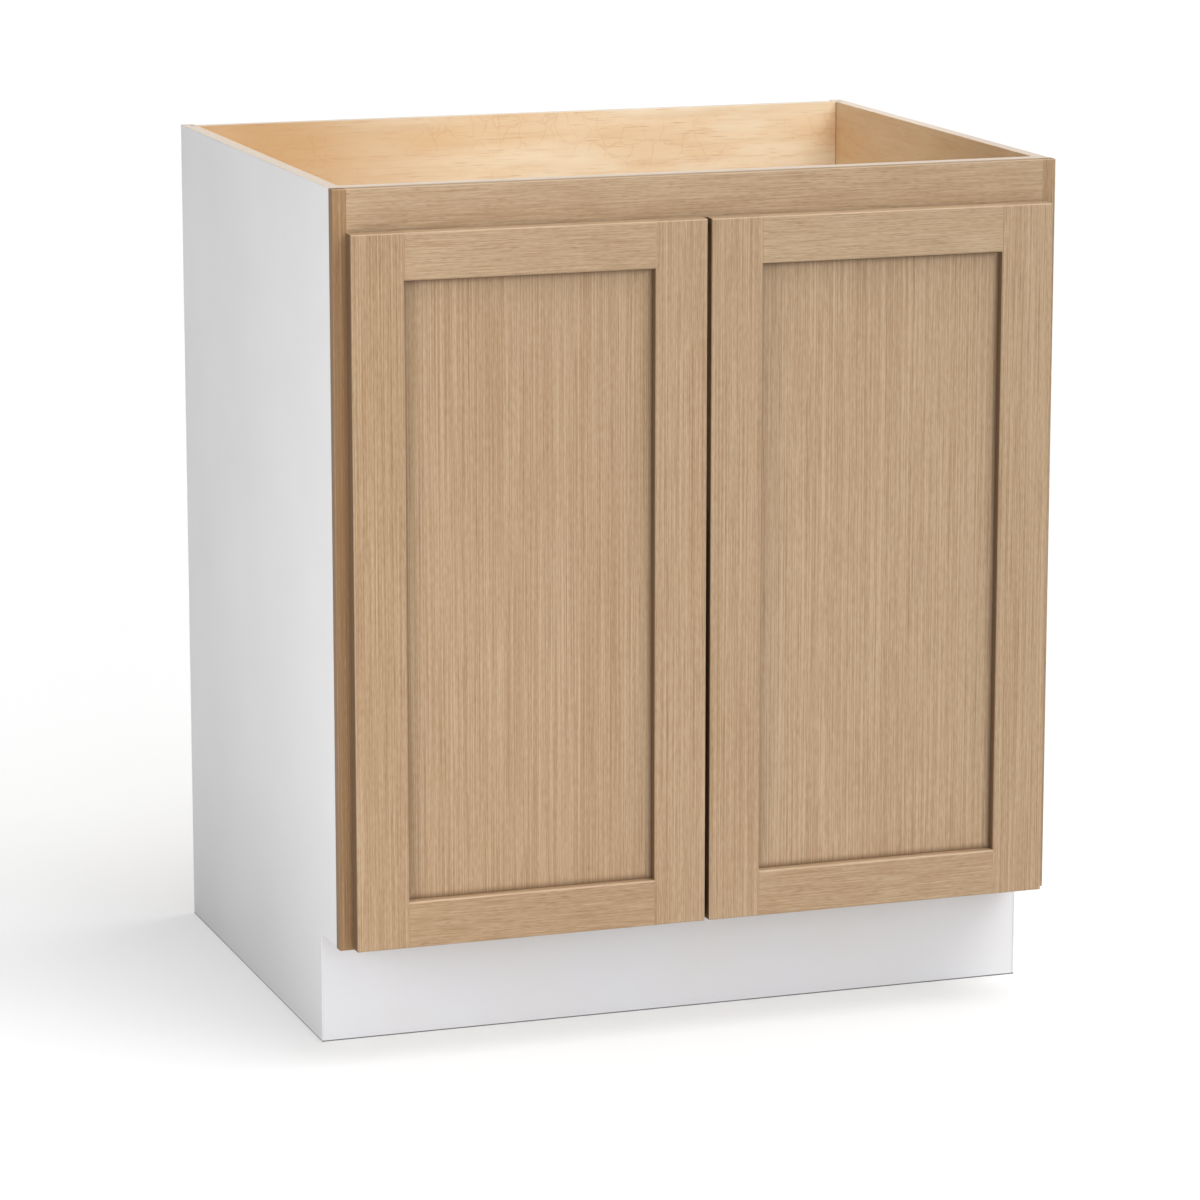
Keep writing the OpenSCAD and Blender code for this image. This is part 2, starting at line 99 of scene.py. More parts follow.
away = toward(VIEW_AZIMUTH, VIEW_ELEVATION)
camera = in_scene("camera", bpy.data.cameras.new("camera"))
camera.data.sensor_width = SENSOR_WIDTH
camera.data.lens = FOCAL_PIXELS / PHOTO_SIDE * SENSOR_WIDTH
camera.data.clip_end = FARTHEST
camera.location = VIEW_AIM + away * VIEW_DISTANCE
camera.rotation_euler = (-away).to_track_quat("-Z", "Y").to_euler()
bpy.context.scene.camera = camera
print("lens", round(camera.data.lens, 1), "mm, camera at", [round(v, 3) for v in camera.location])

# %% [markdown]
# A material is a small graph of nodes. It can be clicked together in the editor, but in a
# script a helper keeps it readable: one call adds a node, and each input is either a plain
# value or the output of another node, which is linked.

# %% Helpers for materials
def add(tree, kind, inputs=None, **settings):
    """Adds a shader node. An input that is a socket is linked, any other value is set."""
    made = tree.nodes.new("ShaderNode" + kind)
    for key, value in settings.items():
        setattr(made, key, value)
    for key, value in (inputs or {}).items():
        if isinstance(value, bpy.types.NodeSocket):
            tree.links.new(value, made.inputs[key])
        else:
            made.inputs[key].default_value = value
    return made


def new_finish(name, constants=None):
    """A material with one Principled shader, whose constants are set on its own sockets:
    returns the material, its tree, the shader and the place of each point in its object."""
    made = bpy.data.materials.new(name)
    made.use_nodes = True
    tree = made.node_tree
    shader = tree.nodes["Principled BSDF"]
    for socket, value in (constants or {}).items():
        shader.inputs[socket].default_value = value
    return made, tree, shader, add(tree, "TexCoord").outputs["Object"]


def math_of(tree, operation, a, b):
    """The result of one arithmetic step on two values or sockets."""
    return add(tree, "Math", {0: a, 1: b}, operation=operation).outputs[0]


def rising(tree, value, slope, start):
    """Start plus slope times value."""
    return add(tree, "Math", {0: value, 1: slope, 2: start}, operation="MULTIPLY_ADD").outputs[0]


def weighted(tree, start, parts):
    """Start plus the sum of weight times (value - 0.5), one weight for each noise."""
    total = start - 0.5 * sum(weight for _, weight in parts)
    for value, weight in parts:
        total = rising(tree, value, weight, total)
    return total


def grained(along, across, lengthwise):
    """Scales for the three axes: lengthwise along the grain, and across on the others."""
    return [lengthwise if axis == along else across for axis in "xyz"]


def scaled_noise(tree, place, scale, detail=2.0, result="Fac"):
    """Noise whose cells are 1 / scale metres long along each axis, so scale sets the grain."""
    moved = add(tree, "Mapping", {"Vector": place, "Scale": scale}).outputs[0]
    return add(tree, "TexNoise", {"Vector": moved, "Scale": 1.0, "Detail": detail}).outputs[result]


def ramp(tree, value, low, high):
    """Value stretched so that low becomes 0 and high becomes 1, and cut off outside that."""
    return add(tree, "MapRange", {"Value": value, "From Min": low, "From Max": high}).outputs[0]


def over(tree, colour, layer, amount, strength=None):
    """A colour with another laid over it: none of the layer at 0, all of it at 1, where
    the amount may be made weaker by a strength."""
    if strength is not None:
        amount = math_of(tree, "MULTIPLY", amount, strength)
    return add(tree, "Mix", {0: amount, 6: colour, 7: layer}, data_type="RGBA").outputs[2]


def surface(shader, colour, roughness, height, depth, strength):
    """Gives a shader its colour, its roughness and its bumps, whose height runs from 0 to 1
    and stands for depth metres."""
    tree = shader.id_data
    bumps = add(tree, "Bump", {"Height": height, "Distance": depth, "Strength": strength})
    values = {"Base Color": colour, "Roughness": roughness, "Normal": bumps.outputs[0]}
    for socket, value in values.items():
        tree.links.new(value, shader.inputs[socket])


def srgb(red, green, blue):
    """A colour read off a screen, 0 to 255, as the linear light that a shader works in."""
    share = np.array([red, green, blue]) / 255
    linear = np.where(share <= 0.04045, share / 12.92, ((share + 0.055) / 1.055) ** 2.4)
    return (*linear.tolist(), 1.0)


# %% [markdown]
# The doors and the face frame are veneered with oak that was cut across its rings, so the
# rings show as fine straight lines and there are no arches. A picture of oak could be
# pasted on, but a texture made of noise has no seams and no edge. Noise is stretched up
# to three hundred times longer along the grain than across it, at several widths laid over
# each other: broad bands of tone, rings, fine streaks, flecks and short pores. Every board
# has its place in that noise, as every board is cut from another part of the tree. In the
# short rails the lines run out sooner than in the long stiles, and they are quieter.

# %% Oak
OAK_DARK = srgb(157, 122, 85)
OAK_LIGHT = srgb(198, 172, 141)
OAK_PORE = srgb(126, 90, 58)
# A painted highlight for the rounds of the edges that face up.
OAK_PAINTED_HIGHLIGHT = srgb(216, 194, 168)
# Part real stain, part painted shade: it darkens the boards' ends, and their sides and the walls beside
# the panel where those face down or sideways.
OAK_STAIN_AND_SHADE = srgb(82, 57, 35)
# Waves in a metre, across the grain and along it, and the share of each in the tone.
BROAD_BAND, NARROW_BAND = (9, 0.8, 0.10), (34, 0.6, 0.10)
RING, STREAK, FLECK = (600, 2.0, 0.24), (1100, 3.5, 1.15), (750, 120, 0.50)
# The same two for the pores, and from which value to which a pore shows.
PORE = (1200, 14, 0.64, 0.76)
PORE_SHARE, PAINTED_HIGHLIGHT_SHARE, STAIN_AND_SHADE_SHARE = 0.32, 0.35, 0.75
RUN_OUT = {"z": 1.0, "x": 6.0}
CONTRAST = {"z": 1.0, "x": 0.75}
BENDS = (30, 5)
WAVER = 1.2 * MM
BOARD_APART = (1.37, 2.11, 0.73)
PANEL_SHADE_REACH = 8 * MM
PANEL_SHADE_FALL = 1.7
board_numbers = count(1)


def oak(name, along, tone=0.0, framed=None):
    """Oak whose grain runs along one axis; tone moves the whole board lighter or darker,
    and framed is the opening (x and z from, x and z to) along whose edges the panel gets
    painted shade, the shadow of the rails and stiles around it."""
    number = next(board_numbers)
    made, tree, shader, place = new_finish(name, {"Specular IOR Level": 0.35})
    shift = [number * step for step in BOARD_APART]
    moved = add(tree, "Mapping", {"Vector": place, "Location": shift}).outputs[0]
    bends = scaled_noise(tree, moved, grained(along, *BENDS), 1.0, "Color")
    moved = add(tree, "VectorMath", {0: bends, 1: [WAVER] * 3, 2: moved},
                operation="MULTIPLY_ADD").outputs[0]

    def grain(across, lengthwise, run_out=RUN_OUT[along]):
        return scaled_noise(tree, moved, grained(along, across, lengthwise * run_out), 0.0)

    ring, streak, fleck = grain(*RING[:2]), grain(*STREAK[:2]), grain(*FLECK[:2], 1.0)
    waves = (grain(*BROAD_BAND[:2]), grain(*NARROW_BAND[:2]), ring, streak, fleck)
    shares = [kind[2] * CONTRAST[along] for kind in (BROAD_BAND, NARROW_BAND, RING, STREAK, FLECK)]
    colour = over(tree, OAK_DARK, OAK_LIGHT, weighted(tree, 0.5 + tone, list(zip(waves, shares))))
    pores = ramp(tree, grain(*PORE[:2]), *PORE[2:])
    colour = over(tree, colour, OAK_PORE, pores, PORE_SHARE)
    # Painted highlight: the rounds of the edges that face up are made lighter.
    painted_highlight = add(tree, "Attribute", attribute_name="painted_highlight").outputs["Fac"]
    colour = over(tree, colour, OAK_PAINTED_HIGHLIGHT, painted_highlight, PAINTED_HIGHLIGHT_SHARE)
    # Stain and painted shade: a board darkens by the value on its points, a panel along the edges of
    # its opening.
    if framed is None:
        stain_and_shade = add(tree, "Attribute", attribute_name="stain_and_shade").outputs["Fac"]
    else:
        # Painted shadow of the rails and stiles on the panel: the nearer a point lies to the opening's
        # edge, the darker.
        apart = add(tree, "SeparateXYZ", {0: place}).outputs
        nearest = 1.0
        for side, start, end in (("X", framed[0], framed[2]), ("Z", framed[1], framed[3])):
            for gap in (math_of(tree, "SUBTRACT", apart[side], start),
                        math_of(tree, "SUBTRACT", end, apart[side])):
                nearest = math_of(tree, "MINIMUM", gap, nearest)
        stain_and_shade = math_of(tree, "POWER", ramp(tree, nearest, PANEL_SHADE_REACH, 0.0), PANEL_SHADE_FALL)
    colour = over(tree, colour, OAK_STAIN_AND_SHADE, stain_and_shade, STAIN_AND_SHADE_SHARE)
    roughness = weighted(tree, 0.55, [(ring, -0.3), (streak, -0.2)])
    height = weighted(tree, 0.5, [(ring, 0.5), (streak, 0.5), (pores, -0.6)])
    surface(shader, colour, roughness, height, depth=0.1 * MM, strength=0.5)
    return made


# %% [markdown]
# The box is made of plywood faced with maple. Plywood is thin layers glued with their
# grain crossed, so its face shows one quiet figure and its edge shows stripes. One solid
# texture gives both: it asks how deep inside the sheet a point lies. At the skin it is
# veneer, and further in it counts layers, turning the grain in every second one. Holes
# and saw cuts then show the right thing. The veneer of the back turns browner toward its
# left side, and a thin dark line of painted shade runs along its inside corners.

# %% Maple plywood
MAPLE_LIGHT = srgb(252, 238, 212)
MAPLE_WARM = srgb(236, 200, 151)
MAPLE_MARK = srgb(206, 158, 106)
MAPLE_HEART = srgb(220, 178, 124)
PLY_LONG = srgb(232, 221, 209)
PLY_CROSS = srgb(211, 194, 177)
PLY_GLUE = srgb(168, 144, 124)
JOINT_SHADE = srgb(110, 78, 48)
# Waves in a metre across the grain and along it, the noise's detail, and from which value
# to which it shows.
CLOUD = (20, 6.5, 4.0, 0.40, 0.62)
BAND = (38, 1.6, 2.0, 0.35, 0.70)
DASH = (150, 13, 2.0, 0.48, 0.72)
HAIR = (900, 30, 1.0, 0.62, 0.95)
CURLS, CURL_WIDTH = 42.0, 0.045
WARP, WARP_SHARE = 26.0, 0.035
CLOUD_SHARE, BAND_SHARE, DASH_SHARE, CURL_SHARE = 0.55, 0.40, 0.25, 0.24
BROWNING_SHARE, CORNER_SHADOW_SHARE = 0.72, 0.8
SIDE_WARMTH = 0.32
SHELF_WARMTH = 0.4
JOINT_WIDTH = 0.9 * MM
VENEER = 0.5 * MM


def plywood(name, node, thin, along, layers, warmth=0.0, browning=None, joints=None):
    """Plywood for one sheet: thin is the axis through it, along its face's grain, and
    warmth turns the whole veneer browner. It can also grow browner from one given x to
    another, and at either x of joints a thin dark line of painted shade stands for the
    shadow in the inside corner."""
    low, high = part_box(node)
    axis = "xyz".index(thin)
    thickness = high[axis] - low[axis]
    made, tree, shader, place = new_finish(name)
    apart = add(tree, "SeparateXYZ", {0: place}).outputs
    depth = math_of(tree, "SUBTRACT", apart[axis], low[axis])

    def figure(across, lengthwise, detail, start, end):
        noise = scaled_noise(tree, place, grained(along, across, lengthwise), detail)
        return noise, ramp(tree, noise, start, end)

    cloud, band, dash = (figure(*kind)[1] for kind in (CLOUD, BAND, DASH))
    fine, hair = figure(*HAIR)
    warp = add(tree, "TexNoise", {"Vector": place, "Scale": WARP}).outputs["Color"]
    warped = add(tree, "Mix", {0: WARP_SHARE, 4: place, 5: warp}, data_type="VECTOR").outputs[1]
    curls = add(tree, "TexVoronoi", {"Vector": warped, "Scale": CURLS},
                feature="DISTANCE_TO_EDGE").outputs["Distance"]
    curls = math_of(
        tree, "MULTIPLY", ramp(tree, curls, CURL_WIDTH, 0.0), ramp(tree, cloud, 0.2, 0.8))
    veneer = over(tree, MAPLE_LIGHT, MAPLE_WARM, cloud, CLOUD_SHARE)
    veneer = over(tree, veneer, MAPLE_WARM, band, BAND_SHARE)
    veneer = over(tree, veneer, MAPLE_HEART, dash, DASH_SHARE)
    veneer = over(tree, veneer, MAPLE_MARK, curls, CURL_SHARE)
    veneer = over(tree, veneer, MAPLE_HEART, warmth)
    if browning is not None:
        veneer = over(tree, veneer, MAPLE_HEART, ramp(tree, apart["X"], *browning), BROWNING_SHARE)
    # Painted shade: a thin dark line at each joint, for the shadow in the inside corner.
    if joints is not None:
        for joint, inward in zip(joints, (JOINT_WIDTH, -JOINT_WIDTH)):
            corner_shadow = ramp(tree, apart["X"], joint + inward, joint + 0.6 * inward)
            veneer = over(tree, veneer, JOINT_SHADE, corner_shadow, CORNER_SHADOW_SHARE)
    veneer = over(tree, veneer, MAPLE_MARK, hair)

    layer = math_of(tree, "MULTIPLY", depth, layers / thickness)
    crossed = math_of(tree, "GREATER_THAN", math_of(tree, "MODULO", layer, 2.0), 1.0)
    glue = ramp(tree, math_of(tree, "PINGPONG", layer, 0.5), 0.07, 0.0)
    fibre = scaled_noise(tree, place, [500] * 3)
    ply = over(tree, PLY_LONG, PLY_CROSS, crossed)
    ply = over(tree, ply, PLY_CROSS, ramp(tree, fibre, 0.45, 0.8), 0.5)
    ply = over(tree, ply, PLY_GLUE, glue, 0.6)

    from_face = math_of(tree, "MINIMUM", depth, math_of(tree, "SUBTRACT", thickness, depth))
    inside = math_of(tree, "GREATER_THAN", from_face, VENEER)
    roughness = rising(tree, fine, 0.08, rising(tree, inside, 0.35, 0.36))
    torn = math_of(tree, "MULTIPLY", fibre, inside)
    colour = over(tree, veneer, ply, inside)
    surface(shader, colour, roughness, torn, depth=0.2 * MM, strength=0.5)
    return made


# %% [markdown]
# The outside and the toe board wear a smooth white laminate. White is hard to render,
# because a pure white has nowhere to go in the light. Its colour stays at about nine
# tenths of full white, with a faint cloudiness, the slight unevenness of a pressed sheet,
# and a cream core that shows along its cut edges. The toe board's white is painted a
# little cooler than the sides, to cancel the warm light bounced onto it under the doors.

# %% White laminate
LAMINATE = srgb(244, 243, 244)
LAMINATE_SOFT = srgb(241, 240, 241)
LAMINATE_CORE = srgb(226, 214, 196)
# Painted light: a cooler white on the toe board, to cancel the warm light bounced onto it.
TOE_LAMINATE = srgb(241, 242, 247)
LAMINATE_CONTACT_SHADOW = srgb(70, 68, 67)
CONTACT_SHADOW_HEIGHT = 1.5 * MM


def laminate(name, sheet=LAMINATE, core_above=None):
    """White laminate; above the height core_above its cut edge shows the cream core, and
    along the floor a thin dark line of painted shade stands for its contact shadow."""
    made, tree, shader, place = new_finish(name)
    cloud = scaled_noise(tree, place, [7] * 3, 3.0)
    peel = scaled_noise(tree, place, [650] * 3)
    colour = over(tree, sheet, LAMINATE_SOFT, ramp(tree, cloud, 0.3, 0.7))
    height = add(tree, "SeparateXYZ", {0: place}).outputs["Z"]
    # Painted contact shadow: the lowest millimetre and a half darkens along the floor.
    contact_shadow = ramp(tree, height, floor_z + CONTACT_SHADOW_HEIGHT, floor_z + 0.6 * CONTACT_SHADOW_HEIGHT)
    colour = over(tree, colour, LAMINATE_CONTACT_SHADOW, contact_shadow)
    if core_above is not None:
        edge = math_of(tree, "GREATER_THAN", height, core_above)
        colour = over(tree, colour, LAMINATE_CORE, edge)
    roughness = rising(tree, cloud, 0.12, 0.34)
    surface(shader, colour, roughness, peel, depth=0.03 * MM, strength=0.35)
    return made


# %% [markdown]
# The hidden hardware is real too, and it shows when a door is open. The hinges are
# pressed steel with a satin nickel plate, the screws are zinc plated, the corner braces
# are moulded plastic and the bumpers are soft clear rubber. Metal has almost no colour of
# its own: its look is its roughness, so that is where the noise goes.

# %% Metal, plastic and rubber
BRUSHED, UNBRUSHED = 90, 2600
RUBBER_CLEAR = srgb(236, 236, 230)
RUBBER_CLOUD = srgb(214, 214, 206)


def darker(colour, share):
    """A colour with this share of its light left."""
    return (*[share * v for v in colour[:3]], 1.0)


def plated_metal(name, colour, rough, lengthwise):
    """Plated steel: noise drawn out along z stands for the roller's marks in the strip."""
    made, tree, shader, place = new_finish(name, {"Metallic": 1.0})
    marks = scaled_noise(tree, place, [UNBRUSHED, UNBRUSHED, lengthwise])
    bloom = scaled_noise(tree, place, [160] * 3, 3.0)
    colour = over(tree, colour, darker(colour, 0.82), ramp(tree, bloom, 0.35, 0.75))
    roughness = rising(tree, bloom, 0.08, rising(tree, marks, 0.16, rough - 0.06))
    surface(shader, colour, roughness, marks, depth=0.01 * MM, strength=0.5)
    return made


def moulded_plastic(name, colour):
    """Plastic from a sparked mould: a fine grain and a little mottling."""
    made, tree, shader, place = new_finish(name)
    spark = scaled_noise(tree, place, [1500] * 3)
    mottle = scaled_noise(tree, place, [45] * 3)
    colour = over(tree, colour, darker(colour, 0.88), mottle)
    roughness = rising(tree, spark, 0.15, 0.42)
    surface(shader, colour, roughness, spark, depth=0.05 * MM, strength=0.5)
    return made


def clear_rubber(name):
    """Soft clear rubber with a cloudy bloom in it."""
    made, tree, shader, place = new_finish(name, {"Transmission Weight": 0.6, "IOR": 1.46})
    cloud = scaled_noise(tree, place, [350] * 3, 3.0)
    colour = over(tree, RUBBER_CLEAR, RUBBER_CLOUD, cloud)
    roughness = rising(tree, cloud, 0.2, 0.28)
    surface(shader, colour, roughness, cloud, depth=0.03 * MM, strength=0.3)
    return made


nickel = plated_metal("satin_nickel", srgb(206, 203, 197), 0.34, BRUSHED)
zinc = plated_metal("zinc_plate", srgb(214, 216, 219), 0.28, UNBRUSHED)
brace_plastic = moulded_plastic("brace_plastic", srgb(206, 206, 203))
bumper_rubber = clear_rubber("bumper_rubber")

# %% [markdown]
# Every new piece is built from rings: closed rows of points, one behind the other, with
# a face between each four neighbours and a lid on each end. A board, a screw and a sheet
# are all rings. The points come as one array of rings by points by three, worked out at
# once with numpy, and the faces follow from counting.

# %% Helpers for meshes
SMOOTH_BELOW = math.radians(30)
SEAM = 0.002 * MM
SAME_POINT = 0.001 * MM


def turns(points):
    """This many equal turns of a full circle."""
    return np.linspace(0, 2 * math.pi, points, endpoint=False)


def ring_faces(rings, points):
    """The quads between neighbouring rings, wrapping round, and one lid on each end."""
    ring = np.arange(rings - 1)[:, None] * points
    here = np.arange(points)[None, :]
    ahead = (here + 1) % points
    quads = np.stack([ring + here, ring + ahead, ring + points + ahead, ring + points + here], 2)
    lids = [list(range(points)), list(range((rings - 1) * points, rings * points))]
    return quads.reshape(-1, 4).tolist() + lids


def piece(name, solids, body, replaced, material, marks=None):
    """One object from a list of ring arrays, which stands for a CAD node. marks gives
    values at the points, by name, which its material can read."""
    points, faces = [], []
    for rings in solids:
        start = sum(len(p) for p in points)
        faces += [[start + i for i in face] for face in ring_faces(*rings.shape[:2])]
        points.append(rings.reshape(-1, 3))
    mesh = bpy.data.meshes.new(name)
    mesh.from_pydata(np.concatenate(points), [], faces)
    for mark, values in (marks or {}).items():
        mesh.attributes.new(mark, "FLOAT", "POINT").data.foreach_set("value", values.ravel())
    return settle(in_scene(name, mesh), body, replaced, material)


def merged(mesh, distance):
    """A copy of a mesh to work on, in which points this close to each other are one."""
    shape = bmesh.new()
    shape.from_mesh(mesh)
    bmesh.ops.remove_doubles(shape, verts=shape.verts, dist=distance)
    return shape


def settle(made, body, replaced, material):
    """Closes a piece's seams, drops faces without area, turns the rest outwards, and puts
    it in its node's place."""
    shape = merged(made.data, SEAM)
    bmesh.ops.dissolve_degenerate(shape, dist=SEAM, edges=shape.edges)
    bmesh.ops.recalc_face_normals(shape, faces=shape.faces)
    shape.to_mesh(made.data)
    shape.free()
    made.data.shade_smooth()
    made.data.set_sharp_from_angle(angle=SMOOTH_BELOW)
    made.data.materials.clear()
    made.data.materials.append(material)
    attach(made, body)
    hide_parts(replaced)
    print(made.name, len(made.data.polygons), "faces")
    return made


# %% [markdown]
# No wooden edge is truly sharp. A cutter and sandpaper leave a small round, and that
# round is what draws the bright lines along a door's edges. A Bevel modifier could round
# every edge alike, but these edges differ: full rounds outside and round the panel, and
# only a hair's breadth where two boards meet. So a board's front is a height field: each
# point sinks by an amount that depends on how far it is from the nearest edge.

# %% The front of a board
DOOR_ROUND = 1.2 * MM
OPENING_ROUND = 2.0 * MM
BACK_ROUND = 0.6 * MM
HAIRLINE = 0.3 * MM
FRAME_ROUND = 0.8 * MM
ROUND_STEPS = 5
GUARD = 0.5 * MM
SIDE_STARTS = 2.6 * MM
TOUCHED = 0.02 * MM
BACK_STAIN = 0.25
END_STAIN = 0.2


def sink(distance, radius):
    """A quarter circle's drop: radius less the root of radius squared less (radius -
    distance) squared, and nothing further from the edge than radius."""
    near = np.clip(radius - distance, 0, radius)
    return radius - np.sqrt(radius ** 2 - near ** 2)


def steps(radius):
    """Distances from an edge at which its round needs points: equal turns of the circle,
    and one more just behind it, which keeps the flat face's shading flat."""
    turn = np.linspace(0, math.pi / 2, ROUND_STEPS)
    return np.append(radius * (1 - np.cos(turn)), radius + GUARD)


def board_lines(length, first, last, *more):
    """All distances along a board that need points, from both of its rounded ends and
    from wherever else there are more, in rising order and each only once."""
    lines = np.concatenate([steps(first), length - steps(last), *more])
    return np.unique(np.round(lines, 8))


def board_rings(across, along, front, back, front_drop, back_drop, side_stain_and_shade, groove=None):
    """A board as rings along its length, each ring going over the front, down the side
    with the groove, back under, and up the outer side. Drops are arrays of along by
    across. With the rings comes how dark each point is made, as stain and painted shade:
    none on the front, the given values on the outer and the inner side, where it is
    mostly painted shade, a little on the back, and an even amount on both ends."""
    rows = len(along)
    fore = np.stack([np.broadcast_to(across, front_drop.shape), front + front_drop], 2)
    rear = np.stack([np.broadcast_to(across, back_drop.shape), back - back_drop], 2)[:, ::-1]
    edge = across[-1]
    if groove is None:
        wall = np.array([[edge, front + SIDE_STARTS], [edge, back - SIDE_STARTS]])
    else:
        near, far, depth = groove
        wall = np.array([
            [edge, front + SIDE_STARTS], [edge, near], [edge - depth, near],
            [edge - depth, far], [edge, far]])
    outer = np.array([[0, back - SIDE_STARTS], [0, front + SIDE_STARTS]])
    sides = [np.broadcast_to(side, (rows, *side.shape)) for side in (wall, outer)]
    flat = np.concatenate([fore, sides[0], rear, sides[1]], 1)
    stain_and_shade = np.concatenate([
        np.zeros(len(across)), np.full(len(wall), side_stain_and_shade[1]),
        np.full(len(across), BACK_STAIN), np.full(len(outer), side_stain_and_shade[0])])
    stain_and_shade = np.tile(stain_and_shade, (rows, 1))
    stain_and_shade[[0, -1]] = END_STAIN
    lengthwise = np.broadcast_to(along[:, None, None], (*flat.shape[:2], 1))
    return np.concatenate([flat, lengthwise], 2), stain_and_shade


def painted_edge_highlight(upper_drop, points):
    """1 where the round of a board's upper edge drops and 0 elsewhere, in the rings' order:
    a painted highlight on the edges that face up, where light from above would fall."""
    highlight = np.zeros((len(upper_drop), points))
    highlight[1:-1, :upper_drop.shape[1]] = upper_drop[1:-1] > TOUCHED
    return highlight


def in_place(rings, low, high, along, flipped):
    """Turns (across, depth, along) into x, y, z. Across counts from the board's outer
    edge, so a flipped board counts down from its high side."""
    across, depth, length = rings[..., 0], rings[..., 1], rings[..., 2]
    cross = 0 if along == "z" else 2
    placed = np.empty_like(rings)
    placed[..., cross] = high[cross] - across if flipped else low[cross] + across
    placed[..., 1] = depth
    placed[..., 2 - cross] = length
    return placed


# %% [markdown]
# The face frame is four oak boards on the front of the box: a stile flush with each side
# and a rail above and below. Their outer edges are eased, and a hairline shows where a
# rail meets a stile.

# %% Face frame
def plain_board(name, node, along, edges, side_stain_and_shade, tone):
    """A board with a rounded front. edges gives the rounds at its low and high side, and
    at its low and high end, and the pair after it how dark its low and high side are
    made, as stain and painted shade."""
    low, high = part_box(node)
    axis = "xyz".index(along)
    cross = 2 - axis
    side_low, side_high, end_low, end_high = edges
    width = high[cross] - low[cross]
    length = high[axis] - low[axis]
    across = board_lines(width, side_low, side_high)
    lines = board_lines(length, end_low, end_high)
    a, b = np.meshgrid(across, lines)
    drop = np.maximum.reduce([
        sink(a, side_low), sink(width - a, side_high),
        sink(b, end_low), sink(length - b, end_high),
    ])
    back_drop = np.zeros_like(drop)
    rings, stain_and_shade = board_rings(
        across, low[axis] + lines, low.y, high.y, drop, back_drop, side_stain_and_shade)
    upper = sink(width - a, side_high) if along == "x" else sink(length - b, end_high)
    marks = {"painted_highlight": painted_edge_highlight(upper, rings.shape[1]), "stain_and_shade": stain_and_shade}
    placed = in_place(rings, low, high, along, flipped=False)
    finish = oak(name + "_oak", along, tone)
    return piece(name, [placed], "carcass", node, finish, marks)


ease, hair = FRAME_ROUND, HAIRLINE
# The tones are partly painted light: the left stile is much darker, a painted shadow of the door beside
# it, and the rail over the doors is lighter, against the lamps' falloff toward the top. The sides'
# values paint shade on the faces that point down or toward the doors.
for name, node, along, edges, side_stain_and_shade, tone in (
    ("left_stile_strip", "left_frame_stile", "z", (hair, hair, ease, ease), (0.45, 1), -0.52),
    ("right_stile_strip", "right_frame_stile", "z", (hair, ease, ease, ease), (1, 0.3), -0.1),
    ("rail_over_doors", "frame_top_rail", "x", (hair, ease, hair, hair), (1, 0.1), 0.2),
    ("rail_under_doors", "frame_bottom_rail", "x", (ease, ease, hair, hair), (1, 0.1), 0.0),
):
    plain_board(name, node, along, edges, side_stain_and_shade, tone)

# %% [markdown]
# Each door is five pieces: two stiles that run from top to bottom, two rails between
# them, and a thin panel in a groove all round. The rails end in tongues that fill the
# stiles' grooves. A stile's inner edge is rounded only beside the panel. At the rails it
# stays nearly square, and the round turns the corner there, because its distance is
# measured from the panel's opening and not from the board's edge.

# %% Door stiles and rails
RAIL_WIDTH = 47 * MM
PANEL_RECESS = 10.5 * MM
PANEL_THICKNESS = 6 * MM
PANEL_PLAY = 0.15 * MM
GROOVE_DEPTH = 9.5 * MM
TONGUE_LENGTH = 9 * MM


def door_groove(front):
    """The groove's near wall, far wall and depth, for a door whose front is at front."""
    near = front + PANEL_RECESS - PANEL_PLAY
    return near, near + PANEL_THICKNESS + 2 * PANEL_PLAY, GROOVE_DEPTH


def door_stile(name, node, body, panel_on_right, tone):
    """A stile: rings along z, with the groove on the panel's side."""
    low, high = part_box(node)
    width = high.x - low.x
    height = high.z - low.z
    across = board_lines(width, DOOR_ROUND, OPENING_ROUND)
    corner = RAIL_WIDTH - steps(OPENING_ROUND)
    lines = board_lines(height, DOOR_ROUND, DOOR_ROUND, corner, height - corner)
    a, b = np.meshgrid(across, lines)
    from_end = np.minimum(b, height - b)
    from_opening = np.maximum(width - a, RAIL_WIDTH - from_end)
    drop = np.maximum.reduce([
        sink(a, DOOR_ROUND), sink(from_end, DOOR_ROUND),
        sink(width - a, HAIRLINE), sink(from_opening, OPENING_ROUND),
    ])
    back_drop = np.maximum(sink(a, BACK_ROUND), sink(from_end, BACK_ROUND))
    rings, stain_and_shade = board_rings(
        across, low.z + lines, low.y, high.y, drop, back_drop, (1, 1), door_groove(low.y))
    marks = {"painted_highlight": painted_edge_highlight(sink(height - b, DOOR_ROUND), rings.shape[1]), "stain_and_shade": stain_and_shade}
    placed = in_place(rings, low, high, "z", flipped=not panel_on_right)
    finish = oak(name + "_oak", "z", tone)
    return piece(name, [placed], body, node, finish, marks)


def with_tongues(rings, front):
    """Adds a tongue at each end: the last ring is pressed onto the tongue's outline, which
    makes the shoulder, and is then carried on to the tongue's end."""
    near, far, depth = door_groove(front)
    inner = rings[..., 0].max() - depth

    def pressed(ring, beyond):
        flat = ring.copy()
        flat[:, 0] = np.minimum(flat[:, 0], inner)
        flat[:, 1] = np.clip(flat[:, 1], near + PANEL_PLAY, far - PANEL_PLAY)
        flat[:, 2] += beyond
        return flat

    head = [pressed(rings[0], -TONGUE_LENGTH), pressed(rings[0], 0)]
    tail = [pressed(rings[-1], 0), pressed(rings[-1], TONGUE_LENGTH)]
    return np.concatenate([head, rings, tail])


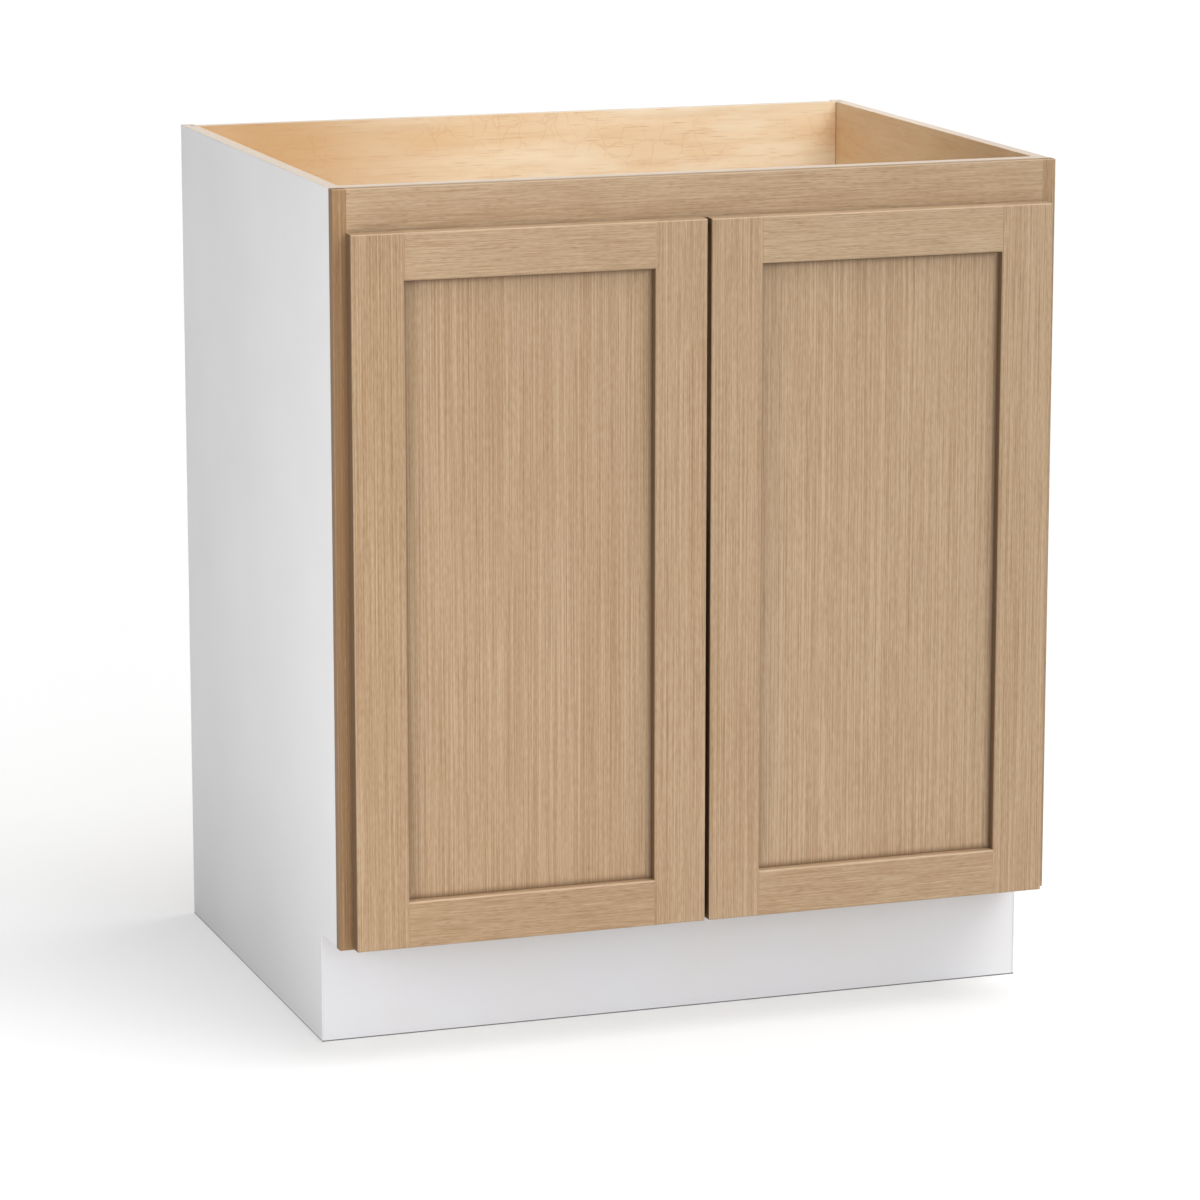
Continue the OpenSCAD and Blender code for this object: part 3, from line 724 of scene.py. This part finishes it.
def door_rail(name, node, body, panel_above, tone):
    """A rail: rings along x, with a tongue beyond the shoulder at each end."""
    low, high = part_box(node)
    width = high.z - low.z
    start = low.x + TONGUE_LENGTH
    length = high.x - low.x - 2 * TONGUE_LENGTH
    across = board_lines(width, DOOR_ROUND, OPENING_ROUND)
    lines = board_lines(length, HAIRLINE, HAIRLINE)
    a, b = np.meshgrid(across, lines)
    drop = np.maximum.reduce([
        sink(a, DOOR_ROUND), sink(width - a, OPENING_ROUND),
        sink(np.minimum(b, length - b), HAIRLINE),
    ])
    back_drop = sink(a, BACK_ROUND)
    # Painted shade: the rail's side that faces down gets all of it, the side that faces up hardly any.
    side_stain_and_shade = (1, 0.1) if panel_above else (0.1, 1)
    rings, stain_and_shade = board_rings(
        across, start + lines, low.y, high.y, drop, back_drop, side_stain_and_shade, door_groove(low.y))
    upper = sink(width - a, OPENING_ROUND) if panel_above else sink(a, DOOR_ROUND)
    highlight = painted_edge_highlight(upper, rings.shape[1])
    marks = {"painted_highlight": np.pad(highlight, ((2, 2), (0, 0))), "stain_and_shade": np.pad(stain_and_shade, ((2, 2), (0, 0)))}
    rings = with_tongues(rings, low.y)
    placed = in_place(rings, low, high, "x", flipped=not panel_above)
    finish = oak(name + "_oak", "x", tone)
    return piece(name, [placed], body, node, finish, marks)


HANDS = ("left", "right")
# Each board's tone is partly its own colour and partly painted light: the top rails and the right door
# are made lighter, to even out how the lamps light the doors.
DOOR_TONES_AND_PAINTED_LIGHT = {
    "left": {"hinges": -0.05, "middle": 0.06, "top": 0.12, "bottom": -0.06, "panel": 0.04},
    "right": {"hinges": 0.14, "middle": 0.08, "top": 0.22, "bottom": 0.06, "panel": 0.16},
}
stiles = {}
for hand, tones in DOOR_TONES_AND_PAINTED_LIGHT.items():
    door = hand + "_door"
    on_left = hand == "left"
    stiles[hand] = door_stile(
        f"{hand}_stile_at_hinges", f"{door}_hinge_stile", door, on_left, tones["hinges"])
    door_stile(f"{hand}_stile_at_middle", f"{door}_meeting_stile", door, not on_left, tones["middle"])
    door_rail(f"{hand}_rail_at_top", f"{door}_top_rail", door, False, tones["top"])
    door_rail(f"{hand}_rail_at_bottom", f"{door}_bottom_rail", door, True, tones["bottom"])

# %% [markdown]
# The hinge stiles have round pockets for the cups and pilot holes for their screws. A
# hole can be woven into the grid, but a drill is simpler: the cutter is a solid of its
# own, the Boolean modifier takes it away from the stile, and the result is kept as the
# stile's mesh. Where to drill is read from the CAD cups.

# %% Cup pockets
POCKET_PLAY = 0.1 * MM
PILOT_RADIUS = 1.9 * MM
PILOT_DEPTH = 10.5 * MM
CUP_DEPTH = 12.8 * MM
CUP_RADIUS = 17.5 * MM
CIRCLE = 64


def separate_solids(node):
    """(lowest corner, highest corner) of each solid in a node, found by walking from
    point to point over a merged copy of its mesh."""
    shape = merged(nodes[node].data, SAME_POINT)
    left, found = set(shape.verts), []
    while left:
        reached = [left.pop()]
        island = []
        while reached:
            vertex = reached.pop()
            island.append(vertex.co.copy())
            ahead = {edge.other_vert(vertex) for edge in vertex.link_edges} & left
            left -= ahead
            reached += ahead
        points = np.array(island)
        found.append((Vector(points.min(0)), Vector(points.max(0))))
    shape.free()
    return sorted(found, key=lambda pair: tuple(pair[0]))


def drill(centre_x, centre_z, mouth, radius, depth):
    """Rings of a cylinder along +Y that starts just in front of the mouth, as a cutter:
    centre plus radius times cosine and sine of equal turns."""
    turn = turns(CIRCLE)
    circle = np.stack([centre_x + radius * np.cos(turn), 0 * turn, centre_z + radius * np.sin(turn)], 1)
    return np.stack([circle + (0, mouth - depth, 0), circle + (0, mouth + MM, 0)])


for hand, stile in stiles.items():
    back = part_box(f"{hand}_door_hinge_stile")[1].y
    cutters = []
    for low, high in separate_solids(f"{hand}_hinge_cups"):
        cup_x = low.x + CUP_RADIUS if hand == "left" else high.x - CUP_RADIUS
        cup_z = (low.z + high.z) / 2
        cutters.append(drill(cup_x, cup_z, back, CUP_RADIUS + POCKET_PLAY, CUP_DEPTH + POCKET_PLAY))
    for low, high in separate_solids(f"{hand}_hinge_cup_screws"):
        middle = (low + high) / 2
        cutters.append(drill(middle.x, middle.z, back, PILOT_RADIUS, PILOT_DEPTH))
    for rings in cutters:
        mesh = bpy.data.meshes.new("drill")
        mesh.from_pydata(rings.reshape(-1, 3), [], ring_faces(*rings.shape[:2]))
        shape = merged(mesh, SAME_POINT)
        bmesh.ops.recalc_face_normals(shape, faces=shape.faces)
        shape.to_mesh(mesh)
        shape.free()
        tool = in_scene("drill", mesh)
        cut = stile.modifiers.new("drill", "BOOLEAN")
        cut.object = tool
        cut.solver = "EXACT"
        drilled = bpy.data.meshes.new_from_object(
            stile.evaluated_get(bpy.context.evaluated_depsgraph_get()))
        stile.modifiers.clear()
        stile.data = drilled
        bpy.data.objects.remove(tool)
    stile.data.set_sharp_from_angle(angle=SMOOTH_BELOW)
    print(stile.name, "drilled", len(cutters), "times,", len(stile.data.polygons), "faces")

# %% [markdown]
# The white pieces are sheets: two thin skins with the toe space cut out of their front,
# and the toe board, whose upper corners are cut away for the sides. Their outline is
# carried across their thickness, and near the outer face it is drawn in along a quarter
# circle, which rounds the edge all the way along, also round a notch. At a square
# corner, drawing in by d means moving by d along both sides' inward normals at once.

# %% White skins and toe board
SKIN_ROUND = 0.6 * MM
TOE_ROUND = 1.0 * MM
CORE_SHOWS = 0.15 * MM


def drawn_in(outline, distance):
    """Each corner of a square-cornered outline moved inwards by distance along the
    normals of both of its sides. The outline runs with its inside on the left."""
    ahead = np.roll(outline, -1, 0) - outline
    ahead /= np.linalg.norm(ahead, axis=1)[:, None]
    normal = np.stack([-ahead[:, 1], ahead[:, 0]], 1)
    return outline + distance * (normal + np.roll(normal, 1, 0))


def white_sheet(name, node, outline, thin, outer_low, round_by, finish):
    """A sheet as rings from its inner to its outer face, the last few drawn in. Its outline
    lies across the thin axis, and its outer face is at that axis's low or high end."""
    low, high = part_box(node)
    axis = "xyz".index(thin)
    turn = np.linspace(0, math.pi / 2, ROUND_STEPS)
    inward = np.append(0, steps(round_by))
    height = high[axis] - low[axis]
    rise = np.concatenate([[0], height - round_by * (1 - np.sin(turn)), [height]])
    through = high[axis] - rise if outer_low else low[axis] + rise
    flat = np.stack([drawn_in(outline, d) for d in inward])
    rings = np.insert(flat, axis, through[:, None], axis=2)
    return piece(name, [rings], "carcass", node, finish)


cut_edge = cad_high.z - CORE_SHOWS
toe_low, toe_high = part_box("toe_kick_board")
toe_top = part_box("left_frame_stile")[0].z
for hand in HANDS:
    low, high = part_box(f"{hand}_side_skin")
    outline = np.array([
        [low.y, toe_top], [toe_low.y, toe_top], [toe_low.y, low.z],
        [high.y, low.z], [high.y, high.z], [low.y, high.z],
    ])
    finish = laminate(f"{hand}_laminate", core_above=cut_edge)
    white_sheet(
        f"{hand}_white_skin", f"{hand}_side_skin", outline, "x", hand == "left", SKIN_ROUND, finish)

shoulders = (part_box("left_side_panel")[1].x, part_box("right_side_panel")[0].x)
outline = np.array([
    [toe_low.x, toe_low.z], [toe_high.x, toe_low.z], [toe_high.x, toe_top], [shoulders[1], toe_top],
    [shoulders[1], toe_high.z], [shoulders[0], toe_high.z], [shoulders[0], toe_top],
    [toe_low.x, toe_top],
])
white_sheet("white_toe_board", "toe_kick_board", outline, "y", True, TOE_ROUND,
            laminate("toe_laminate", TOE_LAMINATE))

# %% [markdown]
# A screw is turned round an axis, so its rings are circles that change size. Two places
# break the circle. The thread is a ridge whose height depends on the angle and on the
# place along the shank together, which is what makes it climb. The driver's cross is a
# hole whose radius depends on the angle: along any direction, the cross ends where the
# first of its two bars ends.

# %% Screws
WOOD_SCREW = 1.8 * MM
MACHINE_SCREW = 2.0 * MM
HEAD_RADIUS = 3.6 * MM
HEAD_HEIGHT = 1.6 * MM
THREAD_PITCH = 1.5 * MM
THREAD_DEPTH = 0.42 * MM
THREAD_SAMPLES = 8
THREAD_ENDS = 0.8 * MM
THREAD_FADES = 2.0 * MM
POINT = np.array([[0.05, 0.0], [0.45, 0.5], [0.9, 1.2]])
HEAD_EDGE = 0.15 * MM
HEAD_RISE = 0.12 * MM
DOME_SHARE = 0.72
DOME_ARC = np.linspace(0.1, 1, 6) * math.pi / 2
CROSS_LENGTH = 2.1 * MM
CROSS_WIDTH = 0.48 * MM
CROSS_DEPTH = 1.1 * MM
CROSS_REACH = 1.15
CROSS_TAPER = 0.86
CROSS_TIP = 0.1
SCREW_POINTS = 48
turn = turns(SCREW_POINTS) + math.pi / SCREW_POINTS


def cross_outline():
    """The cross's radius at each angle: the nearer of the bar's end, half its length over
    the larger of sine and cosine, and the other bar's side, half its width over the
    smaller of the two."""
    slopes = np.sort(np.abs([np.cos(turn), np.sin(turn)]), 0)
    return np.minimum(CROSS_LENGTH / slopes[1], CROSS_WIDTH / slopes[0])


def screw_rings(shank, grip, threaded):
    """A screw along +Z with its head's underside at 0, as rings of radius and height."""
    head, cap = HEAD_RADIUS, HEAD_HEIGHT
    tip = POINT * shank
    samples = int(grip / THREAD_PITCH * THREAD_SAMPLES) if threaded else 2
    height = np.linspace(tip[-1, 1], grip - THREAD_ENDS, samples) - grip
    phase = height[:, None] / THREAD_PITCH - turn[None, :] / (2 * math.pi)
    ridge = np.abs((phase % 1.0) * 2 - 1) ** 2
    fade = np.clip((-height - THREAD_ENDS) / THREAD_FADES, 0, 1)[:, None]
    shank_radius = shank - THREAD_DEPTH * (1 - ridge) * fade * threaded
    even = np.ones(SCREW_POINTS)
    arch = DOME_SHARE * cap
    reach = head - CROSS_REACH * CROSS_LENGTH
    cross = cross_outline()
    rows = [(even * r, z - grip) for r, z in tip]
    rows += list(zip(shank_radius, height))
    rows += [(even * shank, 0.0), (even * (head - HEAD_EDGE), 0.0)]
    rows += [(even * head, HEAD_RISE), (even * head, cap - arch)]
    rows += [
        (even * (head - reach * (1 - math.cos(t))), cap - arch + arch * math.sin(t))
        for t in DOME_ARC]
    rows += [(cross, cap), (CROSS_TAPER * cross, cap - CROSS_DEPTH)]
    rows += [(CROSS_TIP * cross, cap - CROSS_REACH * CROSS_DEPTH)]
    radius = np.stack([r for r, _ in rows])
    z = np.array([h for _, h in rows])[:, None] * even
    return np.stack([radius * np.cos(turn), radius * np.sin(turn), z], 2)


def head_at_high(node, low, high, axis):
    """Whether the points at the high end of a screw's solid lie further from its axis."""
    points = np.array([v.co for v in nodes[node].data.vertices])
    inside = np.all((points > np.array(low) - SAME_POINT) & (points < np.array(high) + SAME_POINT), 1)
    points = points[inside]
    reach = np.linalg.norm(np.delete(points - np.array((low + high) / 2), axis, 1), axis=1)
    at_high = np.abs(points[:, axis] - high[axis]) < SAME_POINT
    at_low = np.abs(points[:, axis] - low[axis]) < SAME_POINT
    return reach[at_high].max() > reach[at_low].max()


def screws(name, node, body, shank, threaded):
    """One screw for each solid of a node, along the solid's longest side, with its head
    at the end where the solid is wider."""
    solids = []
    for low, high in separate_solids(node):
        size = high - low
        axis = max(range(3), key=lambda i: size[i])
        under = np.array((low + high) / 2)
        along = np.zeros(3)
        upward = head_at_high(node, low, high, axis)
        along[axis] = 1 if upward else -1
        under[axis] = (high if upward else low)[axis] - along[axis] * HEAD_HEIGHT
        rings = screw_rings(shank, size[axis] - HEAD_HEIGHT, threaded)
        side = np.roll(np.abs(along), 1)
        solids.append(under + rings @ np.stack([side, np.cross(along, side), along]))
    return piece(name, solids, body, node, zinc)


screws("brace_screws", "corner_brace_screws", "carcass", WOOD_SCREW, True)
screws("plate_screws", "hinge_plate_screws", "carcass", WOOD_SCREW, True)
screws("arm_screws", "hinge_arm_screws", "carcass", MACHINE_SCREW, False)
for hand in HANDS:
    screws(f"{hand}_cup_screws", f"{hand}_hinge_cup_screws", f"{hand}_door", WOOD_SCREW, True)

# %% [markdown]
# A door lands on two soft bumpers. Each is a small dome with a flat foot that sticks to
# the back of the door. Its profile is a superellipse, rounder than a box and flatter
# than a ball, turned round an axis.

# %% Bumpers
DOME_RINGS = 9
DOME_TOP = 0.04
FLANK, CROWN = 0.55, 0.75


def dome(low, high):
    """A dome that stands on its high y side: radius times cosine and height times sine,
    both to a power below one, which squares the curve."""
    radius = (high.x - low.x) / 2
    height = high.y - low.y
    middle = (low + high) / 2
    round_turn = turns(CIRCLE)
    rise = np.linspace(0, math.pi / 2, DOME_RINGS)[:, None]
    across = radius * np.cos(rise) ** FLANK
    across[-1] = DOME_TOP * radius
    up = height * np.sin(rise) ** CROWN
    x = middle.x + across * np.cos(round_turn)
    z = middle.z + across * np.sin(round_turn)
    y = low.y + up + 0 * round_turn
    return np.stack([x, y, z], 2)


for hand in HANDS:
    node = f"{hand}_door_bumpers"
    domes = [dome(low, high) for low, high in separate_solids(node)]
    piece(f"{hand}_soft_bumpers", domes, f"{hand}_door", node, bumper_rubber)

# %% [markdown]
# The pressed and moulded hardware already has its final shape in the solids: cups with
# their flanges, arms, plates, pins and braces. Only its corners are too crisp. A copy of
# each solid is merged, its flat faces are joined, and a Bevel modifier then rounds every
# corner sharper than 35 degrees, as a press tool or a mould would.

# %% Rounded copies of the hardware
FLAT_ENOUGH = math.radians(0.5)
PRESSED_CORNER = math.radians(35)


def rounded_copy(name, node, body, round_by, material):
    """A merged copy of a node with its sharp corners rounded by a Bevel modifier."""
    made = in_scene(name, nodes[node].data.copy())
    shape = merged(made.data, SAME_POINT)
    bmesh.ops.dissolve_limit(shape, angle_limit=FLAT_ENOUGH, verts=shape.verts, edges=shape.edges)
    shape.to_mesh(made.data)
    shape.free()
    settle(made, body, node, material)
    made.data.set_sharp_from_angle(angle=math.pi)
    bevel = made.modifiers.new("press_round", "BEVEL")
    bevel.width = round_by
    bevel.segments = 3
    bevel.limit_method = "ANGLE"
    bevel.angle_limit = PRESSED_CORNER
    bevel.harden_normals = True


for hand in HANDS:
    door = hand + "_door"
    for name, node, body, round_by, material, slot in (
        ("arms", "hinge_arms", "carcass", 0.35, nickel, "nickel_steel"),
        ("plates", "hinge_plates", "carcass", 0.5, nickel, "nickel_steel"),
        ("cups", "hinge_cups", door, 0.2, nickel, "nickel_steel"),
        ("pivot_pins", "hinge_pins", door, 0.2, zinc, "plated_steel"),
        ("brace", "corner_brace", "carcass", 0.6, brace_plastic, "grey_plastic"),
    ):
        rounded_copy(f"{hand}_{name}", f"{hand}_{node}", body, round_by * MM, material)
rounded_copy("steel_shelf_pins", "shelf_pins", "carcass", 0.3 * MM, zinc)

# %% [markdown]
# What is left keeps its CAD mesh, because sawn sheets really are plain: the plywood of
# the box, the shelf and the door panels. They only need their finish.

# %% Finish of the sheets
def dress(node, material):
    """Gives a CAD node its material, in the slot it has."""
    nodes[node].material_slots[0].material = material


BROWNING_SPAN = (-0.02, -0.30)
THIN_LAYERS, MIDDLE_LAYERS, THICK_LAYERS = 9, 11, 13
for node, name, thin, along, layers, more in (
    ("left_side_panel", "left_side", "x", "y", THIN_LAYERS, {"warmth": SIDE_WARMTH}),
    ("right_side_panel", "right_side", "x", "y", THIN_LAYERS, {"warmth": SIDE_WARMTH}),
    ("back_panel", "back", "y", "x", THIN_LAYERS, {"browning": BROWNING_SPAN, "joints": shoulders}),
    ("bottom_deck", "deck", "z", "x", THIN_LAYERS, {"warmth": SHELF_WARMTH}),
    ("adjustable_shelf", "shelf", "z", "x", THICK_LAYERS, {"warmth": SHELF_WARMTH}),
    ("front_stretcher", "stretcher", "y", "x", MIDDLE_LAYERS, {}),
    ("rear_deck_cleat", "cleat", "z", "x", THICK_LAYERS, {}),
):
    dress(node, plywood(name + "_ply", node, thin, along, layers, **more))
for hand in HANDS:
    # The oak finish paints the frame's shadow along the edges of this opening, inside the tongues.
    low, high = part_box(f"{hand}_door_panel")
    inset = Vector((TONGUE_LENGTH, 0, TONGUE_LENGTH))
    low, high = low + inset, high - inset
    finish = oak(f"{hand}_panel_oak", "z", DOOR_TONES_AND_PAINTED_LIGHT[hand]["panel"], (low.x, low.z, high.x, high.z))
    dress(f"{hand}_door_panel", finish)

# %% [markdown]
# The cabinet stands on a sheet of grey paper without an end. Lit strongly enough, plain
# paper would read as white, but then the cabinet would be too bright. So the paper adds
# light of its own that only the camera sees: it reads as white where the lamps reach it,
# and still darkens where the cabinet stands in their way.

# %% Floor
FLOOR_REACH = 60.0
FLOOR_LIFT = 0.39
PAPER = (0.57, 0.57, 0.57, 1)
PAPER_CLOUD = (0.59, 0.59, 0.59, 1)

paper, tree, shader, place = new_finish("floor_paper", {
    "Roughness": 0.9, "Specular IOR Level": 0.1, "Emission Color": (1, 1, 1, 1),
})
grey = over(tree, PAPER, PAPER_CLOUD, scaled_noise(tree, place, [3] * 3))
tree.links.new(grey, shader.inputs["Base Color"])
rays = add(tree, "LightPath").outputs
seen = math_of(tree, "MAXIMUM", rays["Is Camera Ray"], rays["Is Glossy Ray"])
seen = math_of(tree, "MAXIMUM", seen, rays["Is Transmission Ray"])
tree.links.new(math_of(tree, "MULTIPLY", seen, FLOOR_LIFT), shader.inputs["Emission Strength"])

mesh = bpy.data.meshes.new("floor")
corner = np.array([[-1, -1, 0], [1, -1, 0], [1, 1, 0], [-1, 1, 0]]) * FLOOR_REACH
mesh.from_pydata(corner + (0, 0, floor_z), [], [[0, 1, 2, 3]])
floor = in_scene("floor", mesh)
floor.data.materials.append(paper)

# %% [markdown]
# Most of the light comes from far lamps of the sun kind, because such light is as strong
# far away as near, which keeps the paper one even white. A broad one on the right gives
# the doors their shape and throws the soft shadow to the left. The white side faces away
# from it, so a square lamp stands close to that side, and its light falls off toward the
# back as in the photograph. A small shaded lamp looks into the open top. How strong each
# lamp must be was found by rendering each alone: light adds up, so a sum of the pictures
# can be fitted to the photograph's tones before anything is rendered together.

# %% Lamps
WORLD_LIGHT = 0.26
SHADE_FADES = 0.8
BULB_RADIUS = 0.09


def hung(name, lamp, direction, place=(0, 0, 0)):
    """Hangs a lamp at a place so that it shines against the direction."""
    made = in_scene(name, lamp)
    made.location = place
    made.rotation_euler = direction.to_track_quat("Z", "Y").to_euler()
    made.visible_camera = False


def sun(name, azimuth, elevation, share, softness):
    """A far lamp whose light on a surface that faces it straight on is share of full white."""
    lamp = bpy.data.lights.new(name, "SUN")
    lamp.energy = share * math.pi
    lamp.angle = math.radians(softness)
    hung(name, lamp, toward(azimuth, elevation))


def softbox(name, azimuth, elevation, distance, width, height, share, aim):
    """An upright lamp near the cabinet: share of full white on a surface at the aim that
    faces it. A small lamp lights that surface with its power over pi times distance
    squared, and full white is pi."""
    lamp = bpy.data.lights.new(name, "AREA")
    lamp.shape = "RECTANGLE"
    lamp.size, lamp.size_y = width, height
    lamp.energy = share * math.pi ** 2 * distance ** 2
    direction = toward(azimuth, elevation)
    hung(name, lamp, direction, Vector(aim) + direction * distance)


def spot(name, place, aim, share, cone):
    """A lamp with a shade: share of full white on a surface at the aim that faces it,
    within a cone that fades out. Its power spreads over a whole ball of 4 pi distance
    squared, whatever the shade holds back."""
    lamp = bpy.data.lights.new(name, "SPOT")
    lamp.spot_size = math.radians(cone)
    lamp.spot_blend = SHADE_FADES
    lamp.shadow_soft_size = BULB_RADIUS
    back = Vector(place) - Vector(aim)
    lamp.energy = share * math.pi * 4 * math.pi * back.length ** 2
    hung(name, lamp, back.normalized(), place)


sun("top_lamp", 60, 80, 0.18, 60)
sun("right_lamp", 72, 66, 0.51, 45)
sun("half_right_lamp", 30, 40, 0.22, 35)
sun("front_lamp", 2, 15, 0.23, 28)
softbox("side_lamp", -57, 0, 1.1, 0.4, 0.9, 0.46, (-0.38, -0.28, 0.46))
spot("inside_lamp", (-0.25, -0.55, 1.95), (0.18, 0.28, 0.78), 0.205, 34)

world = bpy.data.worlds.new("studio")
bpy.context.scene.world = world
world.use_nodes = True
sky = world.node_tree
backdrop = sky.nodes["Background"]
backdrop.inputs["Color"].default_value = (1, 1, 1, 1)
sky_rays = add(sky, "LightPath").outputs
lit = rising(sky, sky_rays["Is Camera Ray"], 1 - WORLD_LIGHT, WORLD_LIGHT)
sky.links.new(lit, backdrop.inputs["Strength"])
scene = bpy.context.scene
scene.view_settings.view_transform = "Standard"
